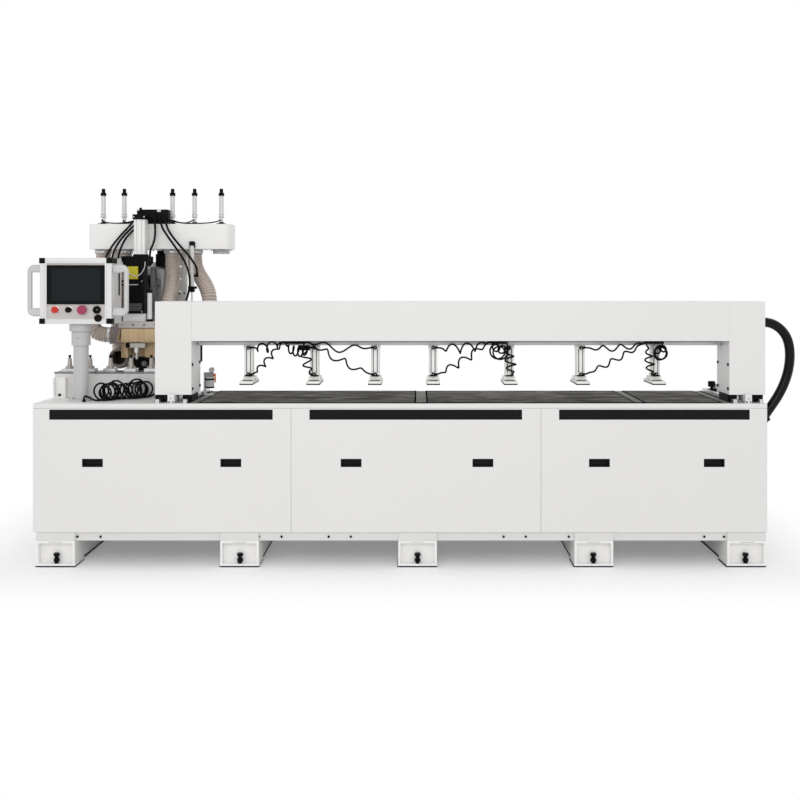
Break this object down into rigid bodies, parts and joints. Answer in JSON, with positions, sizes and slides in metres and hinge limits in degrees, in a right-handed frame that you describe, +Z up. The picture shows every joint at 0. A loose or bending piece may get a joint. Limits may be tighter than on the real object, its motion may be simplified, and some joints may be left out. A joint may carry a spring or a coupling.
{
  "type": "cnc mortising machine",
  "caption": "Long CNC mortising machine: cabinet base, portal clamp beam, spindle head with dust manifold, tool rack and swivelling operator panel.",
  "frame": {"origin": "on the floor under the middle of the machine, without its free hoses and cables", "axes": "+X along the machine to the operator's right, +Y away from the operator, +Z up"},
  "size_m": [4.1644, 1.25, 2.084],
  "materials": {
    "machine_white": "satin powder coat",
    "black_metal": "satin black",
    "head_grey": "brushed",
    "column_white": "satin",
    "profile": "anodised",
    "steel": "ground",
    "black_plastic": "fine grain",
    "table_board": "grooved dark board",
    "light_plastic": "smooth",
    "screen_glass": "gloss",
    "red_cap": "gloss",
    "magenta_cap": "gloss",
    "orange_cap": "gloss",
    "black_rubber": "matte",
    "dust_hose": "clear hose with coppered wire",
    "bristle": "coarse",
    "spindle_black": "black anodised"
  },
  "bodies": {
    "base": {"cross_feet": "machine_white", "foot_pads": "black_rubber", "base_fasteners": "black_metal", "base_frame": "machine_white", "deck_plates": "machine_white", "work_table": "table_board", "outer_covers": "machine_white", "bridge_guides": "steel", "hmi_post": "column_white", "tool_rack": "machine_white", "tool_grippers": "light_plastic", "tool_holders": "steel", "air_service_unit": "light_plastic", "rear_bed": "machine_white", "x_rails": "steel", "air_hose_coil": "black_rubber", "cable_conduit": "black_rubber", "conduit_gland_base": "black_plastic"},
    "air_lever": {"air_lever": "orange_cap"},
    "operator_panel": {"hmi_case": "column_white", "hmi_frame": "profile", "hmi_screen": "screen_glass"},
    "red_button": {"red_button": "red_cap"},
    "black_button": {"black_button": "black_plastic"},
    "emergency_stop": {"emergency_stop": "magenta_cap"},
    "bridge": {"bridge_beam": "machine_white", "bridge_legs": "machine_white", "bridge_carriages": "steel", "clamp_rail": "profile", "clamp_cylinders": "profile", "clamp_hoses": "black_rubber", "conduit_gland_bridge": "black_plastic"},
    "x_carriage": {"x_carriage": "head_grey"},
    "head": {"head_plate": "head_grey", "dust_manifold": "machine_white", "pneumatic_cylinders": "profile", "head_electrics": "black_plastic", "head_cables": "black_rubber", "side_cables": "black_rubber", "dust_hoses": "dust_hose"},
    "spindle": {"spindle_slide": "head_grey", "spindle_housing": "spindle_black", "dust_hood": "head_grey", "hood_brushes": "bristle"},
    "spindle_rotor": {"spindle_rotor": "steel"},
    "mortise_bit": {"mortise_bit": "steel"},
    "side_unit": {"side_unit": "profile"},
    "panel_left": {"front_panel_left": "machine_white", "panel_trim_left": "black_plastic"},
    "panel_middle": {"front_panel_middle": "machine_white", "panel_trim_middle": "black_plastic"},
    "panel_right": {"front_panel_right": "machine_white", "panel_trim_right": "black_plastic"},
    "clamp_1": {"clamp_pad_1": "profile"},
    "clamp_2": {"clamp_pad_2": "profile"},
    "clamp_3": {"clamp_pad_3": "profile"},
    "clamp_4": {"clamp_pad_4": "profile"},
    "clamp_5": {"clamp_pad_5": "profile"},
    "clamp_6": {"clamp_pad_6": "profile"},
    "clamp_7": {"clamp_pad_7": "profile"}
  },
  "joints": [
    {"name": "panel_swivel", "type": "hinge", "parent": "base", "child": "operator_panel", "pos_m": [-1.714, -0.475, 1.26], "axis": [0, 0, 1], "range_deg": [-75, 75]},
    {"name": "red_button_push", "type": "slide", "parent": "operator_panel", "child": "red_button", "axis": [0, 1, 0], "range_m": [0, 0.004], "stiffness_N_per_m": 800},
    {"name": "black_button_push", "type": "slide", "parent": "operator_panel", "child": "black_button", "axis": [0, 1, 0], "range_m": [0, 0.004], "stiffness_N_per_m": 800},
    {"name": "emergency_stop_push", "type": "slide", "parent": "operator_panel", "child": "emergency_stop", "axis": [0, 1, 0], "range_m": [0, 0.005], "stiffness_N_per_m": 1200},
    {"name": "air_lever_turn", "type": "hinge", "parent": "base", "child": "air_lever", "pos_m": [-1.066, -0.205, 0.986], "axis": [1, 0, 0], "range_deg": [0, 90]},
    {"name": "bridge_feed", "type": "slide", "parent": "base", "child": "bridge", "axis": [0, 1, 0], "range_m": [0, 0.12], "deforming": ["cable_conduit"]},
    {"name": "x_axis", "type": "slide", "parent": "base", "child": "x_carriage", "axis": [1, 0, 0], "range_m": [0, 2.9]},
    {"name": "y_axis", "type": "slide", "parent": "x_carriage", "child": "head", "axis": [0, 1, 0], "range_m": [0, 0.14]},
    {"name": "z_axis", "type": "slide", "parent": "head", "child": "spindle", "axis": [0, 0, -1], "range_m": [0, 0.14], "deforming": ["dust_hoses", "head_cables"]},
    {"name": "side_unit_drop", "type": "slide", "parent": "head", "child": "side_unit", "axis": [0, 0, -1], "range_m": [0, 0.08], "deforming": ["dust_hoses"]},
    {"name": "spindle_turn", "type": "hinge", "parent": "spindle", "child": "spindle_rotor", "pos_m": [-1.525, -0.065, 1.2], "axis": [0, 0, 1], "continuous": true},
    {"name": "mortise_turn", "type": "hinge", "parent": "spindle", "child": "mortise_bit", "pos_m": [-1.513, 0.065, 1.03], "axis": [0, 1, 0], "continuous": true},
    {"name": "panel_left_lift_off", "type": "slide", "parent": "base", "child": "panel_left", "axis": [0, -1, 0], "range_m": [0, 0.3]},
    {"name": "panel_middle_lift_off", "type": "slide", "parent": "base", "child": "panel_middle", "axis": [0, -1, 0], "range_m": [0, 0.3]},
    {"name": "panel_right_lift_off", "type": "slide", "parent": "base", "child": "panel_right", "axis": [0, -1, 0], "range_m": [0, 0.3]},
    {"name": "clamp_1_press", "type": "slide", "parent": "bridge", "child": "clamp_1", "axis": [0, 0, -1], "range_m": [0, 0.085]},
    {"name": "clamp_2_press", "type": "slide", "parent": "bridge", "child": "clamp_2", "axis": [0, 0, -1], "range_m": [0, 0.085]},
    {"name": "clamp_3_press", "type": "slide", "parent": "bridge", "child": "clamp_3", "axis": [0, 0, -1], "range_m": [0, 0.085]},
    {"name": "clamp_4_press", "type": "slide", "parent": "bridge", "child": "clamp_4", "axis": [0, 0, -1], "range_m": [0, 0.085]},
    {"name": "clamp_5_press", "type": "slide", "parent": "bridge", "child": "clamp_5", "axis": [0, 0, -1], "range_m": [0, 0.085]},
    {"name": "clamp_6_press", "type": "slide", "parent": "bridge", "child": "clamp_6", "axis": [0, 0, -1], "range_m": [0, 0.085]},
    {"name": "clamp_7_press", "type": "slide", "parent": "bridge", "child": "clamp_7", "axis": [0, 0, -1], "range_m": [0, 0.085]}
  ]
}
